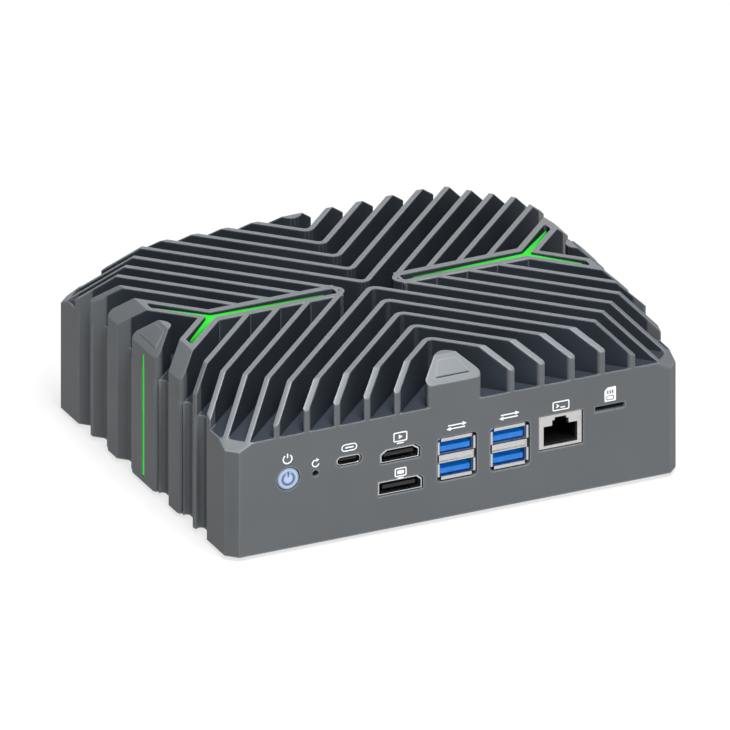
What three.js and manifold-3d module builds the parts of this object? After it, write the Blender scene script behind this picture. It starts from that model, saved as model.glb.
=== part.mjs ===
// Fanless mini PC: a finned aluminium case with two Y-shaped light slots, its ports and its inner parts.
// Millimetres, +Z up, X to the right along the port face, +Y towards the back of the case.
// Heights are counted from the bottom edge of the case. The finished group is lifted by the feet.
import * as THREE from 'three';
import { mergeVertices } from 'three/addons/utils/BufferGeometryUtils.js';
import Module from 'manifold-3d';

const wasm = await Module();
wasm.setup();

// ---- case envelope ----
const HALF_X = 83.0;
const HALF_Y = 68.3;
const CORE_TOP = 41.4;         // top of the core block, which is also the floor of the fin channels
const TOP = 56.4;              // flat top of the fins
const CHAMFER = 3.7;           // vertical corner chamfers
const SLOPE_FOOT = 49.2;       // height where the edge slopes meet the four faces
const SIDE_SLOPE = 7.6;        // how far the left and right slopes reach in
const FRONT_SLOPE = 8.1;       // how far the front and back slopes reach in
const CORNER_TOP_SUM = 114.6;  // |x|+|y| where the corner slope leaves the flat top
const CORNER_CORE_SUM = 142.4; // |x|+|y| where the corner slope meets the core top

// ---- fins: bands along |x|-|y| = k ----
const FIN_PITCH = 11.1;        // step of k from one fin to the next
const FIN_HALF = 1.38;         // half of a fin's width, counted in k
const FIN_FIRST_K = -2.1;      // the chevron nearest the centre
const CHEVRONS = 5;            // chevrons in front, and again behind
const SIDE_FINS = 4;           // fins on each side of a light frame
const APEX_OUTER_R = 3.4;
const APEX_INNER_R = 1.5;
const FIN_END_R = 0.7;         // rounding of the fin ends on the front and back faces
const FIN_ROOT = 1.0;          // how far fins reach down into the core so that they fuse

// ---- light frames and their slots ----
const ARM_INNER_K = 52.3;
const ARM_OUTER_K = 62.7;
const FRAME_HALF = 4.55;       // half width of the straight arm of a frame
const FRAME_END = 1.2;         // metal left beyond the tip of the slot
const SLOT_INNER_K = 55.4;
const SLOT_OUTER_K = 59.8;
const SLOT_HALF = 2.0;
const SLOT_TIP_X = 12.3;
const SLOT_END_X = 73.5;

// ---- tabs in the middle of each face ----
const SIDE_TAB_K = 71.4;
const FRONT_TAB_K = -56.2;
const TAB_APEX_R = 3.6;
const RIB_R = 1.5;             // rounding of a tab's and a frame rib's upright edges
const PAD_RISE = 0.6;
const PAD_OUT = 1.8;           // pad's distance from the face, then its two half widths and its inner edge
const PAD_IN = 6.4;
const PAD_HALF_OUT = 6.3;
const PAD_HALF_IN = 3.4;

// ---- core sides and inside ----
const NOTCH = 3.1;             // depth of the grooves between the side ribs
const GROOVE_R = 1.4;
const THIN_RIB_R = 0.5;
const WALL_X = 74.5;           // half sizes of the cavity
const WALL_Y = 64.3;
const CEILING = 35.4;
const COVER_T = 2.0;
const COVER_HALF_X = 77.0;
const COVER_HALF_Y = 65.5;
const GAP = 0.3;
const BOSS = 4.5;              // half size of a corner boss
const BOSS_TOP = 12.0;
const COVER_SCREW = [70.0, 59.8];
const BOARD_SCREW = [66.0, 45.5];
const FOOT_AT = [58.0, 50.0];
const FOOT_R = 6.5;
const FOOT_PROUD = 1.5;
const FOOT_SEAT = 0.6;
const VESA = 37.5;
const VESA_HOLE_R = 2.0;
const VENTS_PER_ROW = 7;
const VENT = { pitch: 9, row: 14, half: 1.2, long: 9, r: 1.1 };

// ---- board ----
const BOARD_Z = 30.3;
const BOARD_T = 1.6;
const BOARD_HALF_X = 71.0;
const BOARD_HALF_Y = 62.0;
const BOARD_UNDER = BOARD_Z - GAP;

// ---- port centres on the front face ----
const PORT_Y = HALF_Y - 0.5;   // connectors sit half a millimetre inside the face
const POWER = { x: -61.3, z: 25.6, r: 3.95 };
const RESET = { x: -51.3, z: 25.6, r: 1.2 };
const TYPE_C = { x: -38.9, z: 28.0 };
const HDMI = { x: -20.1, z: 26.6 };
const DISPLAY = { x: -20.0, z: 15.0 };
const USB_X = [0.8, 20.3];
const USB_Z = 21.4;
const COM = { x: 39.05, z: 23.6 };
const SIM = { x: 57.1, z: 28.55 };

// ---- rear ports ----
const LAN_X = [-38.0, 2.0];
const LAN_Z = 23.6;
const LAN_STEP = 16.6;
const DC = { x: 40.0, z: 22.6 };
const PLUG_X = [-66.0, 62.0];
const PLUG_Z = 20.0;

const SIDES = [[1, 'right'], [-1, 'left']];
const CORNERS = [[-1, -1], [1, -1], [1, 1], [-1, 1]];
const ARC_STEPS = 4;           // least number of straight pieces in a rounded corner
const ARC_TURN = Math.PI * 0.15; // most that one piece turns
const ROUND = 28;              // segments of a visible round part

// ---- solid helpers ----
function solidOf(geometry) {
  const g = geometry.clone();
  g.deleteAttribute('normal');
  g.deleteAttribute('uv');
  const m = mergeVertices(g, 1e-4);
  const vertProperties = new Float32Array(m.attributes.position.array);
  const triVerts = new Uint32Array(m.index.array);
  return new wasm.Manifold(new wasm.Mesh({ numProp: 3, vertProperties, triVerts }));
}

function geometryOf(solid) {
  const mesh = solid.getMesh();
  const g = new THREE.BufferGeometry();
  g.setAttribute('position', new THREE.BufferAttribute(new Float32Array(mesh.vertProperties), 3));
  g.setIndex(new THREE.BufferAttribute(new Uint32Array(mesh.triVerts), 1));
  return g;
}

const join = (solids) => solids.reduce((a, b) => a.add(b));
const carve = (solid, tools) => tools.reduce((a, b) => a.subtract(b), solid);

function box(x0, x1, y0, y1, z0, z1) {
  const g = new THREE.BoxGeometry(x1 - x0, y1 - y0, z1 - z0);
  g.translate((x0 + x1) / 2, (y0 + y1) / 2, (z0 + z1) / 2);
  return solidOf(g);
}

// Two ends in rising order, for a part that may be mirrored.
const span = (a, b) => [Math.min(a, b), Math.max(a, b)];

// A box given by its centre and half sizes in X and Z, spanning y0 to y1.
const block = (x, z, hx, hz, y0, y1) => box(x - hx, x + hx, y0, y1, z - hz, z + hz);

// Replaces each corner [x, y, r] by an arc of radius r; corners with no r stay sharp.
function rounded(corners) {
  const count = corners.length;
  return corners.flatMap(([x, y, r], i) => {
    if (!r) return [new THREE.Vector2(x, y)];
    const at = new THREE.Vector2(x, y);
    const before = new THREE.Vector2(...corners[(i + count - 1) % count]).sub(at).normalize();
    const after = new THREE.Vector2(...corners[(i + 1) % count]).sub(at).normalize();
    const half = Math.acos(before.dot(after)) / 2;
    const centre = before.clone().add(after).normalize().multiplyScalar(r / Math.sin(half)).add(at);
    const from = before.multiplyScalar(r / Math.tan(half)).add(at).sub(centre);
    const to = after.multiplyScalar(r / Math.tan(half)).add(at).sub(centre);
    const turn = Math.atan2(from.cross(to), from.dot(to));
    const steps = Math.max(ARC_STEPS, Math.ceil(Math.abs(turn) / ARC_TURN));
    const points = [];
    for (let step = 0; step <= steps; step++) {
      points.push(from.clone().rotateAround(new THREE.Vector2(), turn * step / steps).add(centre));
    }
    return points;
  });
}

// Upright prism of a plan outline.
function prism(corners, z0, z1) {
  const g = new THREE.ExtrudeGeometry(new THREE.Shape(rounded(corners)),
    { depth: z1 - z0, bevelEnabled: false, steps: 1 });
  g.translate(0, 0, z0);
  return solidOf(g);
}

// Prism of an outline drawn in X and Z, spanning y0 to y1.
function lying(corners, y0, y1) {
  const g = new THREE.ExtrudeGeometry(new THREE.Shape(rounded(corners)),
    { depth: y1 - y0, bevelEnabled: false, steps: 1 });
  g.rotateX(Math.PI / 2);
  g.translate(0, y1, 0);
  return solidOf(g);
}

// Round bar along Y.
function barY(x, z, r, y0, y1, segments = ROUND) {
  const g = new THREE.CylinderGeometry(r, r, y1 - y0, segments);
  g.translate(x, (y0 + y1) / 2, z);
  return solidOf(g);
}

// Upright round bar or cone.
function barZ(x, y, r0, r1, z0, z1, segments = 20) {
  const g = new THREE.CylinderGeometry(r1, r0, z1 - z0, segments);
  g.rotateX(Math.PI / 2);
  g.translate(x, y, (z0 + z1) / 2);
  return solidOf(g);
}

// Rectangle corners around a centre, with one radius for all four.
function rect(x, z, hx, hz, r = 0) {
  return [[x - hx, z - hz, r], [x + hx, z - hz, r], [x + hx, z + hz, r], [x - hx, z + hz, r]];
}

const turnAbout = (solid, degrees) => solid.rotate([0, 0, degrees]);

// ---- envelope ----
// Everything above a line in (distance from the centre, height), for a face looking along `degrees`.
function slopeCutter(d0, z0, d1, z1, degrees) {
  const grade = (z1 - z0) / (d1 - d0);
  const near = d0 - 2;
  const far = d1 + 14;
  const high = TOP + 12;
  const outline = [[near, z0 + grade * (near - d0)], [far, z0 + grade * (far - d0)],
    [far, high], [near, high]];
  return turnAbout(lying(outline, -140, 140), degrees);
}

function envelope() {
  const x = HALF_X;
  const y = HALF_Y;
  const c = CHAMFER;
  const plan = [[x, y - c], [x - c, y], [c - x, y], [-x, y - c],
    [-x, c - y], [c - x, -y], [x - c, -y], [x, c - y]];
  const cutters = [
    slopeCutter(x - SIDE_SLOPE, TOP, x, SLOPE_FOOT, 0),
    slopeCutter(x - SIDE_SLOPE, TOP, x, SLOPE_FOOT, 180),
    slopeCutter(y - FRONT_SLOPE, TOP, y, SLOPE_FOOT, 90),
    slopeCutter(y - FRONT_SLOPE, TOP, y, SLOPE_FOOT, 270),
  ];
  for (const degrees of [45, 135, 225, 315]) {
    cutters.push(slopeCutter(CORNER_TOP_SUM / Math.SQRT2, TOP, CORNER_CORE_SUM / Math.SQRT2, CORE_TOP,
      degrees));
  }
  return carve(prism(plan, 0, TOP), cutters);
}

// ---- fins, frames and tabs: plan bands raised above the core ----
const raise = (corners) => prism(corners, CORE_TOP - FIN_ROOT, TOP + 1);

// Chevron |x|-|y| = k pointing at the centre from the front (side -1) or the back (side 1). Its two ends
// stand flush with the face and have rounded corners.
function chevron(k, side) {
  const y = side * HALF_Y;
  const outer = -k - FIN_HALF;
  const inner = -k + FIN_HALF;
  return raise([
    [outer - HALF_Y, y, FIN_END_R], [0, side * outer, APEX_OUTER_R], [HALF_Y - outer, y, FIN_END_R],
    [HALF_Y - inner, y, FIN_END_R], [0, side * inner, APEX_INNER_R], [inner - HALF_Y, y, FIN_END_R],
  ]);
}

// V band between |x|-|y| = k0 and k1 on the right (side 1) or the left (side -1). Its point has radii r0
// and r1, and its ends on the side face have radii end0 and end1, as the rib below has.
function sideBand(k0, k1, side, r0, r1, end0, end1) {
  const x = side * HALF_X;
  return raise([
    [x, k0 - HALF_X, end0], [side * k0, 0, r0], [x, HALF_X - k0, end0],
    [x, HALF_X - k1, end1], [side * k1, 0, r1], [x, k1 - HALF_X, end1],
  ]);
}

function frontTab(side) {
  const half = HALF_Y + FRONT_TAB_K;
  const y = side * HALF_Y;
  return raise([[-half, y, RIB_R], [half, y, RIB_R], [0, side * -FRONT_TAB_K, TAB_APEX_R]]);
}

const sideTabCorners = (side) => {
  const half = HALF_X - SIDE_TAB_K;
  const x = side * HALF_X;
  return [[x, -half, RIB_R], [x, half, RIB_R], [side * SIDE_TAB_K, 0, TAB_APEX_R]];
};

function topWork() {
  const bands = [];
  for (let i = 0; i < CHEVRONS; i++) {
    const k = FIN_FIRST_K - i * FIN_PITCH;
    bands.push(chevron(k, 1), chevron(k, -1));
  }
  for (const [side] of SIDES) {
    for (let i = 1; i <= SIDE_FINS; i++) {
      const k = FIN_FIRST_K + i * FIN_PITCH;
      const apex = i === 1 ? APEX_OUTER_R : 0;
      const outerEnd = i === SIDE_FINS ? THIN_RIB_R : 0;
      const innerEnd = i >= SIDE_FINS - 1 ? THIN_RIB_R : 0;
      bands.push(sideBand(k - FIN_HALF, k + FIN_HALF, side, apex, 0, outerEnd, innerEnd));
    }
    bands.push(sideBand(ARM_INNER_K, ARM_OUTER_K, side, 0, 0.6, RIB_R, THIN_RIB_R));
    const ends = span(side * (SLOT_TIP_X - FRAME_END), side * (SLOT_OUTER_K + FIN_ROOT));
    bands.push(box(...ends, -FRAME_HALF, FRAME_HALF, CORE_TOP - FIN_ROOT, TOP + 1));
    bands.push(raise(sideTabCorners(side)));
    bands.push(frontTab(side));
  }
  return join(bands).intersect(envelope());
}

// The low raised panels on the sloping tops of the four tabs.
function pads() {
  const lifted = envelope().translate([0, 0, PAD_RISE]);
  const upright = (corners) => prism(corners, SLOPE_FOOT - 2, TOP).intersect(lifted);
  const list = [];
  for (const [side] of SIDES) {
    const panel = (face) => [[-PAD_HALF_OUT, face - PAD_OUT], [PAD_HALF_OUT, face - PAD_OUT],
      [PAD_HALF_IN, face - PAD_IN], [-PAD_HALF_IN, face - PAD_IN]];
    list.push(upright(panel(HALF_Y).map(([u, d]) => [u, side * d])));
    list.push(upright(panel(HALF_X).map(([u, d]) => [side * d, u])));
  }
  return join(list);
}

// ---- core block ----
// The side grooves run in along the fins at 45 degrees and stop NOTCH deep, with rounded inner corners.
function coreOutline() {
  const tabHalf = HALF_X - SIDE_TAB_K;
  const armLow = HALF_X - ARM_OUTER_K;
  const armHigh = HALF_X - ARM_INNER_K;
  const lastK = FIN_FIRST_K + SIDE_FINS * FIN_PITCH;
  const fin = HALF_X - lastK;
  const blockLow = fin + FIN_PITCH - FIN_HALF;
  const grooves = [
    { low: tabHalf, high: armLow, lowR: RIB_R, highR: THIN_RIB_R },
    { low: armHigh, high: fin - FIN_HALF, lowR: RIB_R, highR: THIN_RIB_R },
    { low: fin + FIN_HALF, high: blockLow, lowR: THIN_RIB_R, highR: THIN_RIB_R },
  ];
  const deep = HALF_X - NOTCH;
  const quarter = [];
  for (const { low, high, lowR, highR } of grooves) {
    quarter.push([HALF_X, low, lowR], [deep, low - NOTCH, GROOVE_R]);
    quarter.push([deep, high - NOTCH, GROOVE_R], [HALF_X, high, highR]);
  }
  quarter.push([HALF_X, HALF_Y - CHAMFER], [HALF_X - CHAMFER, HALF_Y]);
  const flipX = quarter.map(([x, y, r]) => [-x, y, r]).reverse();
  const upper = [...quarter, ...flipX];
  const lower = upper.map(([x, y, r]) => [x, -y, r]).reverse();
  return [...upper, ...lower];
}

function cavity() {
  const bosses = CORNERS.map(([sx, sy]) => {
    const [x, y] = [sx * COVER_SCREW[0], sy * COVER_SCREW[1]];
    return box(x - BOSS, x + BOSS, y - BOSS, y + BOSS, -1, BOSS_TOP);
  });
  const standoffs = CORNERS.map(([sx, sy]) => barZ(sx * BOARD_SCREW[0], sy * BOARD_SCREW[1], 3.2, 3.2,
    BOARD_Z + BOARD_T + GAP, CEILING + 1));
  const room = carve(box(-WALL_X, WALL_X, -WALL_Y, WALL_Y, 1, CEILING), [...bosses, ...standoffs]);
  const seat = box(-COVER_HALF_X - GAP, COVER_HALF_X + GAP, -COVER_HALF_Y - GAP, COVER_HALF_Y + GAP,
    -1, COVER_T + GAP);
  return room.add(seat);
}

function screwHoles() {
  const cover = CORNERS.map(([sx, sy]) => barZ(sx * COVER_SCREW[0], sy * COVER_SCREW[1], 1.5, 1.5,
    1, 10.5, 12));
  const board = CORNERS.map(([sx, sy]) => barZ(sx * BOARD_SCREW[0], sy * BOARD_SCREW[1], 1.5, 1.5,
    BOARD_Z, 37.2, 12));
  return [...cover, ...board];
}

// Y slot on one side; `inset` shrinks it evenly so that the trough inside clears its walls.
function slotOutline(side, inset, tipR = 0.9, endR = 0.5) {
  const s = side;
  const half = SLOT_HALF - inset;
  const inner = SLOT_INNER_K + inset * Math.SQRT2;
  const outer = SLOT_OUTER_K - inset * Math.SQRT2;
  const tip = SLOT_TIP_X + inset;
  const end = SLOT_END_X - inset;
  const upper = [[s * tip, half, tipR], [s * (inner + half), half],
    [s * end, end - inner, endR], [s * end, end - outer, endR]];
  const lower = upper.map(([x, y, r]) => [x, -y, r]).reverse();
  return [...upper, [s * outer, 0], ...lower];
}

const BAR_SLOT = { half: 0.95, deep: 3.0, low: 2.0, high: 47.0 };

// ---- port outlines, centred on the port, grown by g ----
const usbHole = (x, g) => rect(x, USB_Z, 7.05 + g, 7.8 + g, 1.4);
const typeCOutline = (g) => rect(TYPE_C.x, TYPE_C.z, 4.45 + g, 1.6 + g, 1.55 + g);
function hdmiOutline(g) {
  const { x, z } = HDMI;
  return [[x - 7.1 - g, z - 2.35 - g, 0.5], [x + 7.1 + g, z - 2.35 - g, 0.5],
    [x + 7.1 + g, z + 0.9 + g, 0.3], [x + 5.0 + g, z + 2.35 + g, 0.3],
    [x - 5.0 - g, z + 2.35 + g, 0.3], [x - 7.1 - g, z + 0.9 + g, 0.3]];
}
function displayOutline(g) {
  const { x, z } = DISPLAY;
  return [[x - 8.05 - g, z - 2.45 - g, 0.3], [x + 8.05 + g, z - 2.45 - g, 0.3],
    [x + 8.05 + g, z + 1.0 + g, 0.3], [x + 6.4 + g, z + 2.45 + g, 0.3], [x - 8.05 - g, z + 2.45 + g, 0.3]];
}
const JACK = { halfW: 7.85, halfH: 6.05, deep: 21.0, skin: 0.5, front: 0.8, room: 14 };

function wallHoles() {
  const front = (corners) => lying(corners, -HALF_Y - 1, -WALL_Y + 1);
  const back = (corners) => lying(corners, WALL_Y - 1, HALF_Y + 1);
  const holes = [
    barY(POWER.x, POWER.z, POWER.r + 0.3, -HALF_Y - 1, -WALL_Y + 1),
    barY(RESET.x, RESET.z, RESET.r, -HALF_Y - 1, -WALL_Y + 1, 16),
    front(typeCOutline(GAP)), front(hdmiOutline(GAP)), front(displayOutline(GAP)),
    ...USB_X.map((x) => front(usbHole(x, GAP))),
    front(rect(COM.x, COM.z, JACK.halfW + GAP, JACK.halfH + GAP)),
    front(rect(SIM.x, SIM.z, 5.3, 0.85)),
    lying(rect(SIM.x, SIM.z, 5.6, 1.1), -HALF_Y - 1, -HALF_Y + 0.5),
    ...LAN_X.map((x) => back(rect(x, LAN_Z, JACK.halfW + LAN_STEP / 2 + GAP, JACK.halfH + GAP))),
    barY(DC.x, DC.z, 4.4, WALL_Y - 1, HALF_Y + 1),
    ...PLUG_X.flatMap((x) => [barY(x, PLUG_Z, 3.3, WALL_Y - 1, HALF_Y + 1),
      barY(x, PLUG_Z, 4.6, HALF_Y - 1.3, HALF_Y + 1)]),
  ];
  return holes;
}

function heatsinkCase() {
  const core = prism(coreOutline(), 0, CORE_TOP).intersect(envelope());
  const body = core.add(topWork()).add(pads());
  const slots = SIDES.map(([side]) => prism(slotOutline(side, 0), CEILING - 1, TOP + 1));
  const bars = SIDES.map(([side]) => {
    const ends = span(side * (HALF_X - BAR_SLOT.deep), side * (HALF_X + 1));
    return box(...ends, -BAR_SLOT.half, BAR_SLOT.half, BAR_SLOT.low, BAR_SLOT.high);
  });
  return carve(body, [cavity(), ...slots, ...bars, ...screwHoles(), ...wallHoles()]);
}

// ---- bottom cover, feet and screws ----
function bottomCover() {
  const holes = [];
  for (const [sx, sy] of CORNERS) {
    const [x, y] = [sx * COVER_SCREW[0], sy * COVER_SCREW[1]];
    holes.push(barZ(x, y, 1.7, 1.7, -1, COVER_T + 1, 16), barZ(x, y, 3.7, 1.7, -0.4, 1.6, 16));
    holes.push(barZ(sx * FOOT_AT[0], sy * FOOT_AT[1], FOOT_R + GAP, FOOT_R + GAP, -1, FOOT_SEAT, 24));
    holes.push(barZ(sx * VESA, sy * VESA, VESA_HOLE_R, VESA_HOLE_R, -1, COVER_T + 1, 16));
  }
  for (let i = 0; i < VENTS_PER_ROW; i++) {
    const x = (i - (VENTS_PER_ROW - 1) / 2) * VENT.pitch;
    for (const y of [-VENT.row, VENT.row]) {
      holes.push(prism(rect(x, y, VENT.half, VENT.long, VENT.r), -1, COVER_T + 1));
    }
  }
  return carve(box(-COVER_HALF_X, COVER_HALF_X, -COVER_HALF_Y, COVER_HALF_Y, 0, COVER_T), holes);
}

function coverScrew(x, y) {
  const head = barZ(x, y, 3.0, 1.3, 0.1, 1.6, 16);
  const shank = barZ(x, y, 1.15, 1.15, 1.0, 9.0, 12);
  return head.add(shank).subtract(barZ(x, y, 1.15, 1.15, -1, 1.1, 6));
}

function foot(x, y) {
  const outline = [[0, -FOOT_PROUD], [FOOT_R - 0.6, -FOOT_PROUD], [FOOT_R, -1.0],
    [FOOT_R, FOOT_SEAT - GAP], [0, FOOT_SEAT - GAP]];
  const g = new THREE.LatheGeometry(outline.map((p) => new THREE.Vector2(...p)), 24);
  g.rotateX(Math.PI / 2);
  g.translate(x, y, 0);
  return solidOf(g);
}

// ---- lights ----
const LIGHT = { joint: 57.9, tip: 16.5, arm: 19.9, half: 1.3, fork: 1.4, point: 0.2, low: 54.3, high: 55.6 };
const TROUGH = { low: 36.0, high: 54.0 };

// Three tapering points that meet at the joint of the slot.
function lightGuide(side) {
  const { joint, tip, arm, half, fork, point } = LIGHT;
  const diagonal = Math.SQRT1_2;
  const endX = joint + arm * diagonal;
  const endY = arm * diagonal;
  const corner = half / Math.sin(Math.PI * 3 / 8);
  const cornerX = joint - corner * Math.cos(Math.PI * 3 / 8);
  const cornerY = corner * Math.sin(Math.PI * 3 / 8);
  const upper = [[tip, point], [cornerX, cornerY], [endX - point * diagonal, endY + point * diagonal],
    [endX + point * diagonal, endY - point * diagonal]];
  const lower = upper.map(([x, y]) => [x, -y]).reverse();
  const outline = [...upper, [joint + fork, 0], ...lower].map(([x, y]) => [side * x, y]);
  return prism(outline, LIGHT.low, LIGHT.high);
}

const lightTrough = (side) => prism(slotOutline(side, GAP, 0.6, 0.3), TROUGH.low, TROUGH.high);
const lightBoard = (side) => prism(slotOutline(side, -0.5, 0, 0), CEILING - 1.3, CEILING - GAP);

function sideStrip(side, x0, x1, half) {
  return box(...span(side * x0, side * x1), -half, half, BAR_SLOT.low + GAP, BAR_SLOT.high - GAP);
}

// ---- board and what it carries ----
// x, y, half sizes and height of each package under the board.
const CHIPS = [[30, 20, 6, 6, 1.4], [52, 22, 5, 5, 3.2], [64, 22, 4, 4, 3.2], [30, -6, 8, 5, 1.2],
  [50, 4, 4, 6, 2.6], [62, 4, 4, 6, 2.6], [24, -28, 3, 5, 1.6]];

function mainboard() {
  const plate = box(-BOARD_HALF_X, BOARD_HALF_X, -BOARD_HALF_Y, BOARD_HALF_Y, BOARD_Z, BOARD_Z + BOARD_T);
  const chips = CHIPS.map(([x, y, hx, hy, tall]) => box(x - hx, x + hx, y - hy, y + hy,
    BOARD_Z - tall, BOARD_Z + 0.2));
  const holes = CORNERS.map(([sx, sy]) => barZ(sx * BOARD_SCREW[0], sy * BOARD_SCREW[1], 1.7, 1.7,
    BOARD_Z - 1, BOARD_Z + 3, 16));
  return carve(join([plate, ...chips]), holes);
}

function boardScrew(x, y) {
  const head = barZ(x, y, 2.6, 2.6, BOARD_UNDER - 1.6, BOARD_UNDER, 16);
  const shank = barZ(x, y, 1.15, 1.15, BOARD_UNDER - 0.5, 36.6, 12);
  return head.add(shank).subtract(barZ(x, y, 1.2, 1.2, BOARD_UNDER - 3, BOARD_UNDER - 0.8, 6));
}

const MEMORY = { x: -32, y: 12, half: 34.8, deep: 30, z: 26.4, t: 1.2, chips: [-24, -8, 8, 24] };

function memorySlot() {
  const { x, y, half, deep, z } = MEMORY;
  const bar = box(x - half - 2, x + half + 2, y - 1, y + 6, z - 1.4, BOARD_UNDER);
  const arms = [-1, 1].map((s) => {
    return box(...span(x + s * (half + 0.4), x + s * (half + 2)), y - deep + 8, y, z - 1.0, BOARD_UNDER);
  });
  return carve(join([bar, ...arms]), [box(x - half - GAP, x + half + GAP, y - 2, y + 3.5, z - GAP, z + 1.5)]);
}

function memoryModule() {
  const { x, y, half, deep, z, t } = MEMORY;
  const card = box(x - half, x + half, y + 3 - deep, y + 3, z, z + t);
  const chips = MEMORY.chips.map((dx) => box(x + dx - 5, x + dx + 5, y - 20, y - 8, z - 1.0, z + 0.1));
  return join([card, ...chips]);
}

const SSD = { x0: -64, x1: 16, y: -31, half: 11, z: 26.8, t: 0.9, chips: [-52, -34, -16] };

function ssdSocket() {
  const { x1, y, half, z } = SSD;
  return carve(box(x1 - 4, x1 + 3.5, y - half, y + half, z - 1.2, BOARD_UNDER),
    [box(x1 - 5, x1 + GAP, y - half - 1, y + half + 1, z - GAP, z + 1.2)]);
}

function ssdCard() {
  const { x0, x1, y, half, z, t } = SSD;
  const card = box(x0, x1, y - half, y + half, z, z + t);
  const chips = SSD.chips.map((x) => box(x - 7, x + 7, y - 8, y + 8, z - 1.2, z + 0.1));
  return carve(join([card, ...chips]), [barZ(x0, y, 2.4, 2.4, z - 2, z + 3, 20)]);
}

function ssdScrew() {
  const { x0, y, z } = SSD;
  return join([barZ(x0, y, 2.9, 2.9, z - 1.6, z - GAP, 16), barZ(x0, y, 1.9, 1.9, z - 0.6, BOARD_UNDER, 16)]);
}

// Processor package, its top above the board, and the copper shim that reaches the case.
const PROCESSOR = { half: [12, 17.5], shim: [11, 17], top: 1.5 };
const slabAtCentre = ([hx, hy], z0, z1) => box(-hx, hx, -hy, hy, z0, z1);

const CELL = { x: 48, y: -26, r: 10, z: 25.6, t: 3.2 };

function cellHolder() {
  const { x, y, r, z, t } = CELL;
  const cup = barZ(x, y, r + 1.6, r + 1.6, z - 0.4, BOARD_UNDER, 24);
  return cup.subtract(barZ(x, y, r + GAP, r + GAP, z - 2, z + t + GAP, 24));
}

// ---- switches ----
const BUTTON_TRAVEL = 0.5;
const RESET_TRAVEL = 0.25;
const BUTTON_STEM_END = -59.0;
const RESET_TIP_Y = -64.8;

function powerButton() {
  const { x, z, r } = POWER;
  return join([
    barY(x, z, r, -HALF_Y + 0.1, -WALL_Y + 0.5),
    barY(x, z, r + 1.2, -WALL_Y + GAP, -WALL_Y + 1.4),
    barY(x, z, 1.5, -WALL_Y + 1, BUTTON_STEM_END, 16),
  ]);
}

function powerSwitch() {
  const { x, z } = POWER;
  const body = block(x, z, 3.2, 3.2, BUTTON_STEM_END - 1.0, BUTTON_STEM_END + 4.0);
  const post = box(x - 3.2, x + 3.2, BUTTON_STEM_END - 0.6, BUTTON_STEM_END + 4.0, z, BOARD_UNDER);
  const well = barY(x, z, 1.8, BUTTON_STEM_END - 2, BUTTON_STEM_END + BUTTON_TRAVEL + GAP, 16);
  return body.add(post).subtract(well);
}

function resetPlunger() {
  const { x, z } = RESET;
  return join([
    barY(x, z, 0.85, RESET_TIP_Y, BUTTON_STEM_END, 16),
    barY(x, z, 1.5, -WALL_Y + GAP, -WALL_Y + 1.1, 16),
  ]);
}

function resetSwitch() {
  const { x, z } = RESET;
  const body = block(x, z, 2.2, 2.2, BUTTON_STEM_END - 1.0, BUTTON_STEM_END + 3.0);
  const post = box(x - 2.2, x + 2.2, BUTTON_STEM_END - 0.6, BUTTON_STEM_END + 3.0, z, BOARD_UNDER);
  const well = barY(x, z, 1.15, BUTTON_STEM_END - 2, BUTTON_STEM_END + RESET_TRAVEL + GAP, 16);
  return body.add(post).subtract(well);
}

// ---- front connectors ----
const USB = { halfW: 6.25, halfH: 2.56, rise: 4.05, deep: 17.0, skin: 0.4 };

// Spring lips and bars that stand in front of the tube, as half sizes in X and Z.
const USB_LIP = { set: 1.3, halfW: 5.65, halfH: 0.6, z: 7.0 };
const USB_SIDE = { halfW: 0.38, halfH: 2.4, x: 6.58 };
const USB_DIVIDER = { halfW: 6.45, halfH: 1.45, groove: 0.95 };

// Metal box of a stacked pair, open at two mouths, with raised lips round them.
function usbShell(x) {
  const { halfW, halfH, rise, deep, skin } = USB;
  const y0 = -PORT_Y;
  const yTube = y0 + USB_LIP.set;
  const yRoot = yTube + 0.3;
  const parts = [
    block(x, USB_Z, halfW + skin, rise + halfH + skin, yTube, y0 + deep),
    block(x, USB_Z, USB_DIVIDER.halfW, USB_DIVIDER.halfH, y0, yRoot),
  ];
  for (const sz of [-1, 1]) {
    parts.push(block(x, USB_Z + sz * USB_LIP.z, USB_LIP.halfW, USB_LIP.halfH, y0, yRoot));
    for (const sx of [-1, 1]) {
      parts.push(block(x + sx * USB_SIDE.x, USB_Z + sz * rise, USB_SIDE.halfW, USB_SIDE.halfH, y0, yRoot));
    }
  }
  const rooms = [-1, 1].map((s) => block(x, USB_Z + s * rise, halfW, halfH, yTube - 0.1, y0 + deep - 0.8));
  const groove = block(x, USB_Z, USB_DIVIDER.halfW - 0.2, USB_DIVIDER.groove, y0 - 1, y0 + 0.35);
  return carve(join(parts), [...rooms, groove]);
}

// Blue moulding of one mouth (level 1 above, -1 below): a tongue on a block that closes the tube.
function usbTongue(x, level) {
  const { halfW, halfH, rise, deep } = USB;
  const z = USB_Z + level * rise;
  const y1 = -PORT_Y + deep - 0.8 - GAP;
  const back = block(x, z, halfW - GAP, halfH - GAP, y1 - 5.0, y1);
  const tongue = box(x - 5.5, x + 5.5, -PORT_Y + 1.2, y1 - 2, z - halfH + 0.8, z - halfH + 2.65);
  return back.add(tongue);
}

function tubeShell(outline, deep, skin) {
  const y0 = -PORT_Y;
  return lying(outline(0), y0, y0 + deep).subtract(lying(outline(-skin), y0 - 1, y0 + deep - 0.8));
}

// Back plate with a tongue, standing inside a metal tube.
function tubeTongue(x, z, halfW, thick, outline, deep, skin) {
  const y1 = -PORT_Y + deep - 0.8 - GAP;
  const back = lying(outline(-skin - GAP), y1 - 3.5, y1);
  return back.add(block(x, z, halfW, thick / 2, -PORT_Y + 1.0, y1 - 1));
}

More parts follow.
